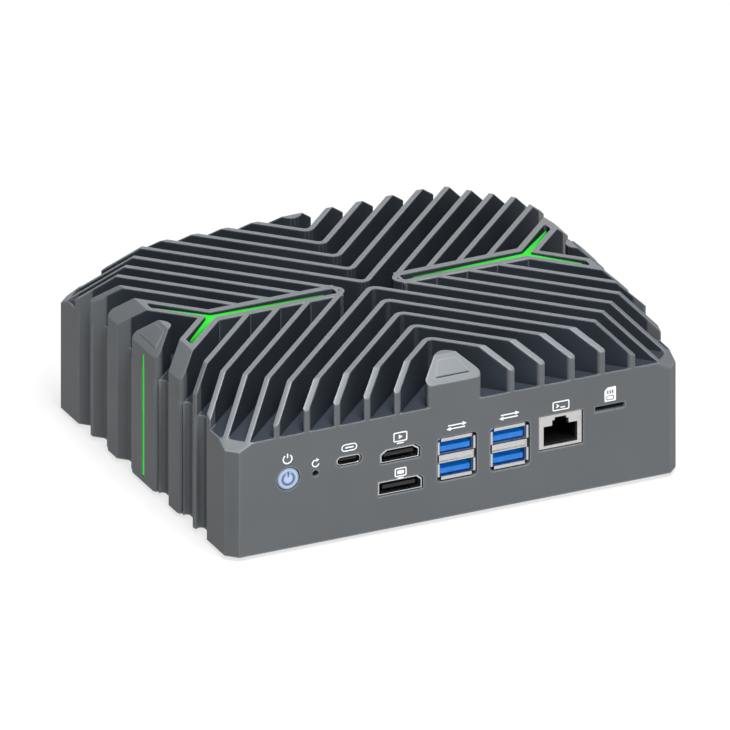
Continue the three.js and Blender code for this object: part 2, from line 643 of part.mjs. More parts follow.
// Opening of a modular jack: the plug's room with the two-step latch notch above it.
function jackOpening(x, z, g) {
  const half = [[6.2, -4.9], [6.2, 2.15], [3.0, 2.15], [3.0, 4.0], [2.1, 4.0], [2.1, 5.0]];
  const right = half.map(([dx, dz]) => [x + dx + g, z + dz + (dz < 0 ? -g : g)]);
  const left = half.map(([dx, dz]) => [x - dx - g, z + dz + (dz < 0 ? -g : g)]).reverse();
  return [...right, ...left];
}

// `face` is -1 for the front wall and 1 for the back wall; `ports` are the opening centres.
function jackShield(x, z, halfW, ports, face) {
  const { halfH, deep } = JACK;
  const inward = (a, b) => span(face * (PORT_Y - a), face * (PORT_Y - b));
  const hollow = block(x, z, halfW - JACK.skin, halfH - JACK.skin, ...inward(JACK.front, deep + 1));
  const mouths = ports.map((px) => lying(jackOpening(px, z, 0), ...inward(-1, 2)));
  return carve(block(x, z, halfW, halfH, ...inward(0, deep)), [hollow, ...mouths]);
}

function jackInsert(x, z, halfW, ports, face) {
  const { halfH, deep } = JACK;
  const inward = (a, b) => span(face * (PORT_Y - a), face * (PORT_Y - b));
  const skin = JACK.skin + GAP;
  const mouths = ports.map((px) => lying(jackOpening(px, z, -0.25), ...inward(0, JACK.room)));
  return carve(block(x, z, halfW - skin, halfH - skin, ...inward(JACK.front + GAP, deep - 0.4)), mouths);
}

function simReader() {
  const { x, z } = SIM;
  const y0 = -WALL_Y + GAP;
  return block(x, z, 8.2, 1.35, y0, y0 + 15).subtract(block(x, z, 5.2, 0.6, y0 - 1, y0 + 13));
}

// ---- rear connectors ----
function dcJack() {
  const { x, z } = DC;
  const nose = barY(x, z, 4.0, 60, PORT_Y);
  const body = block(x, z, 4.6, 4.6, 52, WALL_Y - GAP);
  const post = box(x - 4.6, x + 4.6, 52, 62, z, BOARD_UNDER);
  const room = barY(x, z, 3.15, 57, PORT_Y + 1, 24);
  return carve(join([nose, body, post]), [room]).add(barY(x, z, 1.0, 56, PORT_Y - 1.2, 12));
}

function antennaPlug(x) {
  return join([
    barY(x, PLUG_Z, 4.3, HALF_Y - 1.0, HALF_Y - 0.1, 24),
    barY(x, PLUG_Z, 3.0, WALL_Y - 1.0, HALF_Y - 0.5, 20),
  ]);
}

// ---- assembly ----
const COLOURS = {
  shell: [0x73777b, 0.45, 0.85], cover: [0x3b3f43, 0.5, 0.7], steel: [0xb9bcc0, 0.3, 1.0],
  silver: [0xd2d4d6, 0.3, 1.0], rubber: [0x1b1c1e, 0.9, 0.0], black: [0x101113, 0.6, 0.0],
  light: [0x32f03c, 0.35, 0.0], board: [0x12402e, 0.6, 0.0], blue: [0x1e6fd6, 0.45, 0.0],
  button: [0xbcd4ee, 0.3, 0.0], copper: [0xb87333, 0.35, 1.0], chip: [0x202226, 0.5, 0.0],
};

const group = new THREE.Group();
group.name = 'mini_pc';

function add(name, solid, colour) {
  const [hex, roughness, metalness] = COLOURS[colour];
  const geometry = geometryOf(solid);
  geometry.translate(0, 0, FOOT_PROUD);
  geometry.computeVertexNormals();
  const mesh = new THREE.Mesh(geometry, new THREE.MeshStandardMaterial({ color: hex, roughness, metalness }));
  mesh.name = name;
  mesh.material.name = colour;
  group.add(mesh);
}

function addCase() {
  add('heatsink_case', heatsinkCase(), 'shell');
  add('bottom_cover', bottomCover(), 'cover');
  CORNERS.forEach(([sx, sy], i) => {
    add(`cover_screw_${i + 1}`, coverScrew(sx * COVER_SCREW[0], sy * COVER_SCREW[1]), 'steel');
    add(`rubber_foot_${i + 1}`, foot(sx * FOOT_AT[0], sy * FOOT_AT[1]), 'rubber');
    add(`board_screw_${i + 1}`, boardScrew(sx * BOARD_SCREW[0], sy * BOARD_SCREW[1]), 'steel');
  });
}

function addLights() {
  for (const [side, name] of SIDES) {
    add(`light_trough_${name}`, lightTrough(side), 'black');
    add(`light_guide_${name}`, lightGuide(side), 'light');
    add(`light_board_${name}`, lightBoard(side), 'board');
    add(`side_light_strip_${name}`, sideStrip(side, HALF_X - BAR_SLOT.deep + GAP, 81.2, 0.65), 'black');
    add(`side_light_bar_${name}`, sideStrip(side, 81.5, HALF_X - 0.2, 0.55), 'light');
  }
}

function addInside() {
  add('mainboard', mainboard(), 'board');
  const top = BOARD_Z + BOARD_T;
  add('processor', slabAtCentre(PROCESSOR.half, top + GAP, top + PROCESSOR.top), 'chip');
  add('heat_spreader', slabAtCentre(PROCESSOR.shim, top + PROCESSOR.top + GAP, CEILING - GAP), 'copper');
  add('memory_slot', memorySlot(), 'black');
  add('memory_module', memoryModule(), 'board');
  add('ssd_socket', ssdSocket(), 'black');
  add('ssd', ssdCard(), 'board');
  add('ssd_screw', ssdScrew(), 'steel');
  add('cell_holder', cellHolder(), 'black');
  add('coin_cell', barZ(CELL.x, CELL.y, CELL.r, CELL.r, CELL.z, CELL.z + CELL.t, 24), 'steel');
}

function addFrontPorts() {
  add('power_button', powerButton(), 'button');
  add('power_switch', powerSwitch(), 'black');
  add('reset_plunger', resetPlunger(), 'black');
  add('reset_switch', resetSwitch(), 'black');
  add('type_c_shell', tubeShell(typeCOutline, 9.0, 0.35), 'steel');
  add('type_c_tongue', tubeTongue(TYPE_C.x, TYPE_C.z, 3.3, 0.7, typeCOutline, 9.0, 0.35), 'black');
  add('hdmi_shell', tubeShell(hdmiOutline, 12.0, 0.4), 'steel');
  add('hdmi_tongue', tubeTongue(HDMI.x, HDMI.z + 0.1, 5.4, 1.3, hdmiOutline, 12.0, 0.4), 'black');
  add('display_shell', tubeShell(displayOutline, 12.0, 0.4), 'steel');
  add('display_tongue', tubeTongue(DISPLAY.x, DISPLAY.z, 6.0, 1.3, displayOutline, 12.0, 0.4), 'black');
  USB_X.forEach((x, i) => {
    add(`usb_shell_${i + 1}`, usbShell(x), 'silver');
    add(`usb_tongue_${i + 1}_upper`, usbTongue(x, 1), 'blue');
    add(`usb_tongue_${i + 1}_lower`, usbTongue(x, -1), 'blue');
  });
  add('com_jack_shield', jackShield(COM.x, COM.z, JACK.halfW, [COM.x], -1), 'silver');
  add('com_jack_insert', jackInsert(COM.x, COM.z, JACK.halfW, [COM.x], -1), 'black');
  add('sim_reader', simReader(), 'steel');
}

function addRearPorts() {
  LAN_X.forEach((x, i) => {
    const ports = [x - LAN_STEP / 2, x + LAN_STEP / 2];
    const half = JACK.halfW + LAN_STEP / 2;
    add(`lan_shield_${i + 1}`, jackShield(x, LAN_Z, half, ports, 1), 'silver');
    add(`lan_insert_${i + 1}`, jackInsert(x, LAN_Z, half, ports, 1), 'black');
  });
  add('dc_jack', dcJack(), 'black');
  PLUG_X.forEach((x, i) => add(`antenna_plug_${i + 1}`, antennaPlug(x), 'rubber'));
}

addCase();
addLights();
addInside();
addFrontPorts();
addRearPorts();

export default group;
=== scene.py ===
"""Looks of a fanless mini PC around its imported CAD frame: materials, softened edges, printed
pictograms, studio floor, lights and camera. The scene is in metres, in the frame of the CAD.
Values in mm are turned into metres with MM."""
import math

import bmesh
import bpy
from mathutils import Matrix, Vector


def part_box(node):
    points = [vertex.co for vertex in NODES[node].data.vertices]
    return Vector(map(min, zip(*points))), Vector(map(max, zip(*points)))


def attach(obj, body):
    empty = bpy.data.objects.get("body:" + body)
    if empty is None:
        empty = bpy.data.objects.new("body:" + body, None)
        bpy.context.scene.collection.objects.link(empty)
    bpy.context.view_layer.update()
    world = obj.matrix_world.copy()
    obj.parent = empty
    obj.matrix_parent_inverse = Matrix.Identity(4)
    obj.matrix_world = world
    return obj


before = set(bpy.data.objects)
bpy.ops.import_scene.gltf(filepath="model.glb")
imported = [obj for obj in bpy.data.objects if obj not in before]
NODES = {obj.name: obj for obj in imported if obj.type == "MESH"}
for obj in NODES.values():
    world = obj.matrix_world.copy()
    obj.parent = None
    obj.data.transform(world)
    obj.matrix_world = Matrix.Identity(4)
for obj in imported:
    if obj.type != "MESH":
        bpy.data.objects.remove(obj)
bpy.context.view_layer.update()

MM = 0.001
CHASSIS = "chassis"
POWER_BODY = "power_key"
LIFT = 1.5                 # mm, the feet lift the case this far
FACE_Y = -68.3             # mm, the front face


# ---------------------------------------------------------------- node material helpers

class Paint:
    """A material under construction: short calls that add shader nodes and link them."""

    def __init__(self, name):
        self.material = bpy.data.materials.new(name)
        self.material.use_nodes = True
        self.tree = self.material.node_tree
        self.shader = self.tree.nodes["Principled BSDF"]
        self.place = self.tree.nodes.new("ShaderNodeTexCoord").outputs["Object"]

    def link(self, value, socket):
        if isinstance(value, bpy.types.NodeSocket):
            self.tree.links.new(value, socket)
        else:
            socket.default_value = value

    def set(self, **inputs):
        for key, value in inputs.items():
            self.link(value, self.shader.inputs[key.replace("_", " ")])

    def noise(self, per_mm, detail=3.0, rough=0.55, at=None):
        node = self.tree.nodes.new("ShaderNodeTexNoise")
        node.inputs["Scale"].default_value = per_mm / MM
        node.inputs["Detail"].default_value = detail
        node.inputs["Roughness"].default_value = rough
        self.tree.links.new(at or self.place, node.inputs["Vector"])
        return node.outputs["Fac"]

    def cells(self, per_mm, feature="F1"):
        node = self.tree.nodes.new("ShaderNodeTexVoronoi")
        node.feature = feature
        node.inputs["Scale"].default_value = per_mm / MM
        self.tree.links.new(self.place, node.inputs["Vector"])
        return node.outputs["Distance"]

    def stretch(self, x, y, z):
        node = self.tree.nodes.new("ShaderNodeMapping")
        node.inputs["Scale"].default_value = (x, y, z)
        self.tree.links.new(self.place, node.inputs["Vector"])
        return node.outputs["Vector"]

    def axes(self, vector):
        """The X, Y and Z parts of a vector."""
        node = self.tree.nodes.new("ShaderNodeSeparateXYZ")
        self.tree.links.new(vector, node.inputs[0])
        return node.outputs["X"], node.outputs["Y"], node.outputs["Z"]

    def ramp(self, value, low, high, to_low=0.0, to_high=1.0):
        node = self.tree.nodes.new("ShaderNodeMapRange")
        node.inputs["From Min"].default_value = low
        node.inputs["From Max"].default_value = high
        node.inputs["To Min"].default_value = to_low
        node.inputs["To Max"].default_value = to_high
        self.link(value, node.inputs["Value"])
        return node.outputs["Result"]

    def mix(self, factor, a, b):
        node = self.tree.nodes.new("ShaderNodeMix")
        node.data_type = "RGBA"
        self.link(factor, node.inputs["Factor"])
        by_type = {socket.identifier: socket for socket in node.inputs}
        self.link(a, by_type["A_Color"])
        self.link(b, by_type["B_Color"])
        return next(socket for socket in node.outputs if socket.identifier == "Result_Color")

    def maths(self, kind, a, b=0.0):
        node = self.tree.nodes.new("ShaderNodeMath")
        node.operation = kind
        self.link(a, node.inputs[0])
        self.link(b, node.inputs[1])
        return node.outputs[0]

    def both(self, a, b):
        """Product of two masks."""
        return self.maths("MULTIPLY", a, b)

    def edges(self, radius_mm, low, high):
        """1 along outer and inner edges, 0 on flat faces."""
        bevel = self.tree.nodes.new("ShaderNodeBevel")
        bevel.samples = 6
        bevel.inputs["Radius"].default_value = radius_mm * MM
        flat = self.tree.nodes.new("ShaderNodeNewGeometry").outputs["True Normal"]
        dot = self.tree.nodes.new("ShaderNodeVectorMath")
        dot.operation = "DOT_PRODUCT"
        self.tree.links.new(bevel.outputs["Normal"], dot.inputs[0])
        self.tree.links.new(flat, dot.inputs[1])
        return self.ramp(dot.outputs["Value"], high, low)

    def bump(self, height, depth_mm, strength=1.0):
        node = self.tree.nodes.new("ShaderNodeBump")
        node.inputs["Strength"].default_value = strength
        node.inputs["Distance"].default_value = depth_mm * MM
        self.link(height, node.inputs["Height"])
        return node.outputs["Normal"]


def colour(r, g, b):
    """Linear colour from 0 to 255 screen values."""
    def linear(v):
        v /= 255
        return v / 12.92 if v <= 0.04045 else ((v + 0.055) / 1.055) ** 2.4
    return (linear(r), linear(g), linear(b), 1.0)


def shade(base, factor):
    return (base[0] * factor, base[1] * factor, base[2] * factor, 1.0)


# ---------------------------------------------------------------- materials

def fin_field(p):
    """Masks of the case: walls and floors of the channels, which carry painted shade, faces that look up
    and the sloping ones among those, which carry a painted highlight, the foot of the walls between the
    fins, and the ribbed sides."""
    x, y, z = p.axes(p.place)
    up = p.axes(p.tree.nodes.new("ShaderNodeNewGeometry").outputs["True Normal"])[2]
    x, y = p.maths("ABSOLUTE", x), p.maths("ABSOLUTE", y)

    def within(value, limit):
        return p.ramp(value, limit * MM, (limit - CHANNEL_SHADE_FADE) * MM)
    inside = p.both(within(x, CHANNEL_SHADE_HALF_X), within(y, CHANNEL_SHADE_HALF_Y))
    inside = p.both(inside, within(p.maths("ADD", x, y), CHAMFER_REACH))
    above = p.ramp(z, (CHANNEL_FLOOR - 0.15) * MM, (CHANNEL_FLOOR - 0.05) * MM)
    wall = p.both(p.both(p.ramp(up, 0.4, 0.3), inside), above)
    low = p.ramp(z, (CHANNEL_FLOOR + 0.15) * MM, (CHANNEL_FLOOR + 0.05) * MM)
    bottom = p.both(p.both(p.ramp(up, 0.85, 0.95), low), above)
    top = p.both(p.ramp(up, 0.25, 0.4), p.ramp(z, TOPS_FROM * MM, (TOPS_FROM + MASK_FADE) * MM))
    near_floor = p.ramp(z, (CHANNEL_FLOOR + 1.2) * MM, (CHANNEL_FLOOR + 0.6) * MM)
    foot = p.both(p.both(near_floor, above), inside)
    inner = p.maths("MAXIMUM", wall, bottom)
    top = p.both(top, p.maths("SUBTRACT", 1.0, inner))
    ribs = p.both(p.ramp(x, RIBS_FROM_X * MM, (RIBS_FROM_X + MASK_FADE) * MM),
                  p.ramp(z, RIBS_BELOW * MM, (RIBS_BELOW - MASK_FADE) * MM))
    return inner, top, p.both(top, p.ramp(up, 0.95, 0.88)), foot, ribs


def anodised(name, base, channel_shade):
    """Bead-blasted anodised aluminium: satin speckle, cloudy tone, a painted highlight on the faces that
    look up (stronger on the slopes), paler edges that are partly wear and partly a painted highlight,
    and painted shade with a duller finish in the channels between the fins."""
    p = Paint(name)
    clouds = p.ramp(p.noise(0.035, detail=2.0), 0.3, 0.7)
    speckle = p.ramp(p.cells(3.2), 0.1, 0.7)
    inner, top, slope, foot, ribs = fin_field(p)
    tone = p.mix(clouds, shade(base, 0.95), shade(base, 1.05))
    tone = p.mix(p.maths("MULTIPLY", speckle, 0.22), tone, shade(base, 1.35))
    # painted highlight: faces that look up are paler, the slopes among them more so
    tone = p.mix(p.maths("MULTIPLY", top, 0.8), tone, shade(base, 1.2))
    tone = p.mix(p.maths("MULTIPLY", slope, 0.45), tone, shade(base, 1.8))
    # painted shade: the walls and floors of the channels take a darker tone
    tone = p.mix(inner, tone, p.mix(clouds, shade(channel_shade, 0.85), shade(channel_shade, 1.15)))
    patchy = p.ramp(p.noise(0.5), 0.25, 0.6, 0.6, 1.0)
    # paler edges: partly wear, partly a painted highlight
    edge_wear_and_highlight = p.both(p.both(p.edges(0.9, 0.92, 0.995), patchy), p.maths("SUBTRACT", 1.0, foot))
    tone = p.mix(p.maths("MULTIPLY", edge_wear_and_highlight, EDGE_WEAR_AND_HIGHLIGHT), tone, shade(base, 2.3))
    # paler rib edges: partly wear, partly a painted highlight
    rib_wear_and_highlight = p.both(p.edges(0.7, 0.97, 0.996), ribs)
    tone = p.mix(p.maths("MULTIPLY", rib_wear_and_highlight, RIB_WEAR_AND_HIGHLIGHT), tone, shade(base, 2.6))
    rough = p.ramp(p.noise(1.4), 0.2, 0.8, 0.44, 0.58)
    rough = p.maths("ADD", rough, p.maths("MULTIPLY", inner, 0.25))
    grain = p.bump(p.noise(6.5, detail=2.0), 0.012, 0.55)
    gloss = p.maths("ADD", CASE_GLOSS, p.maths("MULTIPLY", top, TOP_GLOSS))
    gloss = p.maths("SUBTRACT", gloss, p.maths("MULTIPLY", inner, CHANNEL_DULL))
    p.set(Base_Color=tone, Roughness=rough, Normal=grain, Metallic=p.maths("MULTIPLY", top, 0.3),
          Specular_IOR_Level=gloss)
    return p.material


def powder_coat(name, base):
    """Textured paint with fine lumps, paler along the edges where it wears."""
    p = Paint(name)
    lumps = p.noise(2.2, detail=4.0)
    tone = p.mix(p.ramp(lumps, 0.3, 0.7), shade(base, 0.82), shade(base, 1.18))
    tone = p.mix(p.maths("MULTIPLY", p.edges(0.5, 0.7, 0.97), 0.5), tone, shade(base, 2.4))
    rough = p.ramp(p.noise(0.2), 0.3, 0.7, 0.55, 0.72)
    p.set(Base_Color=tone, Roughness=rough, Normal=p.bump(lumps, 0.05, 0.7))
    return p.material


def metal(name, base, rough, along=(1.0, 1.0, 1.0), marks=0.35):
    """Plated or drawn metal with fine marks along one direction and dull patches."""
    p = Paint(name)
    drawn = p.noise(5.0, detail=4.0, at=p.stretch(*along))
    dull = p.noise(0.6, detail=3.0)
    tone = p.mix(p.ramp(drawn, 0.3, 0.7), shade(base, 0.88), shade(base, 1.06))
    tone = p.mix(p.ramp(dull, 0.52, 0.75, 0.0, 0.35), tone, shade(base, 0.7))
    spread = p.ramp(p.maths("ADD", drawn, dull), 0.7, 1.3, rough * 0.8, rough * 1.35)
    p.set(Base_Color=tone, Roughness=spread, Metallic=1.0, Normal=p.bump(drawn, 0.008, marks))
    return p.material


def plastic(name, base, rough=0.45, grain=0.5, pale=1.9, lit=0.0):
    """Moulded plastic: fine spark-eroded grain, slight tone drift and scuffed edges. `lit` is the
    strength of
    a painted glow: light the plastic gives off in its own tone, which brightens it in the shade."""
    p = Paint(name)
    fine = p.noise(5.0, detail=3.0)
    drift = p.ramp(p.noise(0.3, detail=2.0), 0.3, 0.7)
    tone = p.mix(drift, shade(base, 0.88), shade(base, 1.12))
    tone = p.mix(p.maths("MULTIPLY", p.edges(0.2, 0.72, 0.97), 0.45), tone, shade(base, pale))
    spread = p.ramp(fine, 0.3, 0.7, rough * 0.85, rough * 1.2)
    p.set(Base_Color=tone, Roughness=spread, Normal=p.bump(fine, 0.012, grain),
          Emission_Color=tone, Emission_Strength=lit)
    return p.material


def rubber(name, base):
    """Matt rubber with dusty high spots."""
    p = Paint(name)
    dust = p.noise(1.3, detail=5.0, rough=0.7)
    tone = p.mix(p.ramp(dust, 0.45, 0.75), base, shade(base, 2.2))
    p.set(Base_Color=tone, Roughness=p.ramp(dust, 0.3, 0.7, 0.75, 0.92), Normal=p.bump(dust, 0.03, 0.6))
    return p.material


def glowing(name, base, strength, fade):
    """Milky light guide lit from behind; with `fade`, strongest where its three points meet."""
    p = Paint(name)
    uneven = p.ramp(p.noise(0.12, detail=2.0), 0.3, 0.7)
    tone = p.mix(uneven, shade(base, 0.9), shade(base, 1.08))
    power = p.ramp(uneven, 0.0, 1.0, strength * 0.95, strength * 1.05)
    if fade:
        x, y, z = p.axes(p.place)
        along = p.maths("ABSOLUTE", p.maths("SUBTRACT", p.maths("ABSOLUTE", x), GUIDE_JOINT_X * MM))
        away = p.maths("ADD", along, p.maths("ABSOLUTE", y))
        power = p.maths("MULTIPLY", power, p.ramp(away, 2 * MM, 38 * MM, 1.0, 0.32))
    p.set(Base_Color=shade(base, 0.12), Emission_Color=tone, Emission_Strength=power,
          Roughness=p.ramp(p.noise(3.0), 0.3, 0.7, 0.5, 0.62), Normal=p.bump(p.noise(4.0), 0.01, 0.3),
          Specular_IOR_Level=0.1)
    return p.material


def circuit(name, mask, chip_below_z_mm, chip):
    """Solder mask over copper tracks; what hangs below a height is dark moulded packages."""
    p = Paint(name)
    z = p.axes(p.place)[2]
    tracks = p.cells(0.32, feature="DISTANCE_TO_EDGE")
    track = p.ramp(tracks, 0.035, 0.06, 1.0, 0.0)
    tone = p.mix(track, mask, shade(mask, 1.7))
    pads = p.ramp(p.cells(0.45), 0.13, 0.16, 1.0, 0.0)
    tone = p.mix(pads, tone, colour(196, 160, 92))
    is_chip = p.ramp(z, chip_below_z_mm * MM, (chip_below_z_mm + 0.02) * MM, 1.0, 0.0)
    tone = p.mix(is_chip, tone, p.mix(p.noise(2.0), shade(chip, 0.8), shade(chip, 1.3)))
    rough = p.ramp(p.noise(0.8), 0.3, 0.7, 0.35, 0.5)
    p.set(Base_Color=tone, Roughness=rough, Normal=p.bump(track, 0.03, 0.4))
    return p.material


def ink(name, base):
    """Screen-printed ink, slightly thin in places."""
    p = Paint(name)
    thin = p.noise(6.0, detail=3.0)
    tone = p.mix(p.ramp(thin, 0.25, 0.6), shade(base, 0.8), base)
    p.set(Base_Color=tone, Roughness=p.ramp(thin, 0.3, 0.7, 0.5, 0.65), Normal=p.bump(thin, 0.006, 0.4))
    return p.material


def studio_floor(name):
    """Pale paper sweep; seen from below it lets the camera through."""
    p = Paint(name)
    fibre = p.noise(0.02, detail=4.0)
    tone = p.mix(p.ramp(fibre, 0.3, 0.7), FLOOR_TONE, shade(FLOOR_TONE, 0.985))
    p.set(Base_Color=tone, Roughness=0.85, Normal=p.bump(p.noise(0.4), 0.05, 0.1),
          Emission_Color=(1.0, 1.0, 1.0, 1.0), Emission_Strength=FLOOR_GLOW)
    tree = p.tree
    clear = tree.nodes.new("ShaderNodeBsdfTransparent")
    side = tree.nodes.new("ShaderNodeNewGeometry")
    pick = tree.nodes.new("ShaderNodeMixShader")
    tree.links.new(side.outputs["Backfacing"], pick.inputs[0])
    tree.links.new(p.shader.outputs[0], pick.inputs[1])
    tree.links.new(clear.outputs[0], pick.inputs[2])
    tree.links.new(pick.outputs[0], tree.nodes["Material Output"].inputs["Surface"])
    return p.material


EDGE_WEAR_AND_HIGHLIGHT = 0.75         # share of the paler tone on the edges, partly wear and partly a painted highlight
RIB_WEAR_AND_HIGHLIGHT = 0.5           # and on the edges of the side ribs, also partly a painted highlight
CASE_GLOSS = 0.25        # specular level of the case
TOP_GLOSS = 0.3          # more of it on the faces that look up
CHANNEL_DULL = 0.15      # and less of it in the channels
FLOOR_TONE = (0.17, 0.17, 0.17, 1.0)
FLOOR_GLOW = 0.74        # the floor's own light, which keeps it near white
CASE_TONE = colour(88, 91.5, 94.5)
# painted shade of the channels between the fins
CHANNEL_PAINTED_SHADE = colour(45, 51, 59)
CHANNEL_FLOOR = 42.9     # mm, height of the floor between the fins
CHANNEL_SHADE_HALF_X = 79.8       # mm, the painted shade of the channels ends this far out
CHANNEL_SHADE_HALF_Y = 67.8
CHANNEL_SHADE_FADE = 0.6
CHAMFER_REACH = 147.3    # mm, |x| + |y| just inside the corner chamfers
TOPS_FROM = 39.4         # mm, the sloping tops reach down to here
RIBS_FROM_X = 78.8       # mm, the ribbed sides stand outside this
RIBS_BELOW = 42.8        # mm, and below this
MASK_FADE = 0.4          # mm, over which the masks of the tops and the ribs come in
GUIDE_JOINT_X = 57.9     # mm, where the three points of a light guide meet
GREEN = (0.022, 0.82, 0.032, 1.0)

CASE = anodised("case_anodised", CASE_TONE, CHANNEL_PAINTED_SHADE)
COVER = powder_coat("cover_paint", colour(62, 65, 68))
SCREW = metal("screw_steel", colour(176, 178, 180), 0.34)
STEEL = metal("connector_steel", colour(214, 215, 216), 0.26, along=(1.0, 0.1, 1.0))
PLATED = metal("plated_shell", colour(202, 201, 199), 0.3, along=(0.15, 1.0, 1.0))
COPPER = metal("copper", colour(202, 130, 92), 0.32, along=(0.2, 1.0, 1.0))
RUBBER = rubber("black_rubber", colour(30, 30, 31))
BLACK = plastic("black_plastic", colour(24, 25, 27), rough=0.5)
DARK = plastic("dark_liner", colour(17, 18, 19), rough=0.42)
# painted glow: the blue plastic gives off light to brighten it in the shade
BLUE = plastic("usb_blue", colour(10, 102, 186), rough=0.38, grain=0.3, pale=1.5, lit=0.35)
BUTTON = plastic("button_cap", colour(138, 156, 181), rough=0.28, grain=0.25, pale=1.7)
GLOW = glowing("green_guide", GREEN, 0.85, True)
GLOW_BAR = glowing("green_bar", GREEN, 0.7, False)
BOARD = circuit("main_board", colour(20, 72, 52), 30.3 + LIFT, colour(44, 46, 50))
MEMORY = circuit("memory_board", colour(22, 78, 50), 26.4 + LIFT, colour(34, 35, 38))
DRIVE = circuit("drive_board", colour(24, 60, 92), 26.8 + LIFT, colour(34, 35, 38))
LED_BOARD = circuit("led_board", colour(228, 230, 228), -1.0, colour(240, 240, 235))
PACKAGE = plastic("chip_package", colour(64, 76, 70), rough=0.4)
WHITE_INK = ink("white_ink", colour(250, 251, 252))
BLUE_INK = ink("blue_ink", colour(52, 88, 150))
PALE_INK = ink("pale_ink", colour(178, 194, 218))
GREY_INK = ink("grey_ink", colour(92, 96, 100))

# CAD node name start: (material, edge rounding in mm)
FINISHES = {
    "heatsink_case": (CASE, 0.3), "bottom_cover": (COVER, 0.25), "cover_screw": (SCREW, 0.12),
    "board_screw": (SCREW, 0.12), "ssd_screw": (SCREW, 0.12), "rubber_foot": (RUBBER, 0.25),
    "light_trough": (DARK, 0.08), "light_guide": (GLOW, 0.12), "light_board": (LED_BOARD, 0.08),
    "side_light_strip": (BLACK, 0.08), "side_light_bar": (GLOW_BAR, 0.12), "mainboard": (BOARD, 0.1),
    "processor": (PACKAGE, 0.15), "heat_spreader": (COPPER, 0.12), "memory_slot": (BLACK, 0.15),
    "memory_module": (MEMORY, 0.08), "ssd_socket": (BLACK, 0.12), "ssd": (DRIVE, 0.08),
    "cell_holder": (BLACK, 0.2), "coin_cell": (SCREW, 0.3), "power_button": (BUTTON, 0.25),
    "power_switch": (BLACK, 0.15), "reset_plunger": (BLACK, 0.12), "reset_switch": (BLACK, 0.15),
    "type_c_shell": (STEEL, 0.08), "hdmi_shell": (STEEL, 0.1), "display_shell": (STEEL, 0.1),
    "type_c_tongue": (BLACK, 0.08), "hdmi_tongue": (BLACK, 0.1), "display_tongue": (BLACK, 0.1),
    "usb_shell": (PLATED, 0.1), "usb_tongue": (BLUE, 0.15), "com_jack_shield": (PLATED, 0.12),
    "com_jack_insert": (DARK, 0.1), "sim_reader": (DARK, 0.1), "lan_shield": (PLATED, 0.12),
    "lan_insert": (DARK, 0.1), "dc_jack": (BLACK, 0.2), "antenna_plug": (RUBBER, 0.25),
}


# ---------------------------------------------------------------- CAD nodes: finish and softened edges

WELD_GAP = 5e-6                       # m, points closer than this are joined
FLAT_ANGLE = math.radians(0.5)        # neighbours within this angle count as one flat face
ROUNDED_ANGLE = math.radians(32)      # sharper corners than this are rounded
SHARP_ANGLE = math.radians(38)        # corners still sharper than this get a hard shading edge
ROUNDING_STEPS = 2
LARGE_FACE = 5                        # faces with this many corners or more are split
FLAT_FACE_WEIGHT = 60                 # how far large flat faces set the normals at their corners

# Where the corners of the case stay sharp, in mm
HOLLOW = {"half_x": 78.5, "top": 38.2}                      # the hollow under the fins
MOUTH_TOP = 1.6                                             # the mouth of the hollow, round the cover
RIB_END = {"from_x": 82.2, "from_y": 41.1, "to_y": 41.45}   # thin arcs too small to round


def geometry_group(name, fill):
    """A geometry nodes group of one mesh in, one mesh out."""
    group = bpy.data.node_groups.new(name, "GeometryNodeTree")
    group.interface.new_socket("Geometry", in_out="INPUT", socket_type="NodeSocketGeometry")
    group.interface.new_socket("Geometry", in_out="OUTPUT", socket_type="NodeSocketGeometry")
    start = group.nodes.new("NodeGroupInput")
    end = group.nodes.new("NodeGroupOutput")
    group.links.new(fill(group, start.outputs[0]), end.inputs[0])
    return group


def shade_smooth(group, geometry):
    """Smooth faces, with the corners that were left unrounded kept sharp."""
    faces = group.nodes.new("GeometryNodeSetShadeSmooth")
    group.links.new(geometry, faces.inputs["Geometry"])
    sharp = group.nodes.new("ShaderNodeMath")
    sharp.operation = "GREATER_THAN"
    angle = group.nodes.new("GeometryNodeInputMeshEdgeAngle").outputs["Unsigned Angle"]
    group.links.new(angle, sharp.inputs[0])
    sharp.inputs[1].default_value = SHARP_ANGLE
    edges = group.nodes.new("GeometryNodeSetShadeSmooth")
    edges.domain = "EDGE"
    edges.inputs["Shade Smooth"].default_value = False
    group.links.new(sharp.outputs[0], edges.inputs["Selection"])
    group.links.new(faces.outputs["Geometry"], edges.inputs["Geometry"])
    return edges.outputs["Geometry"]


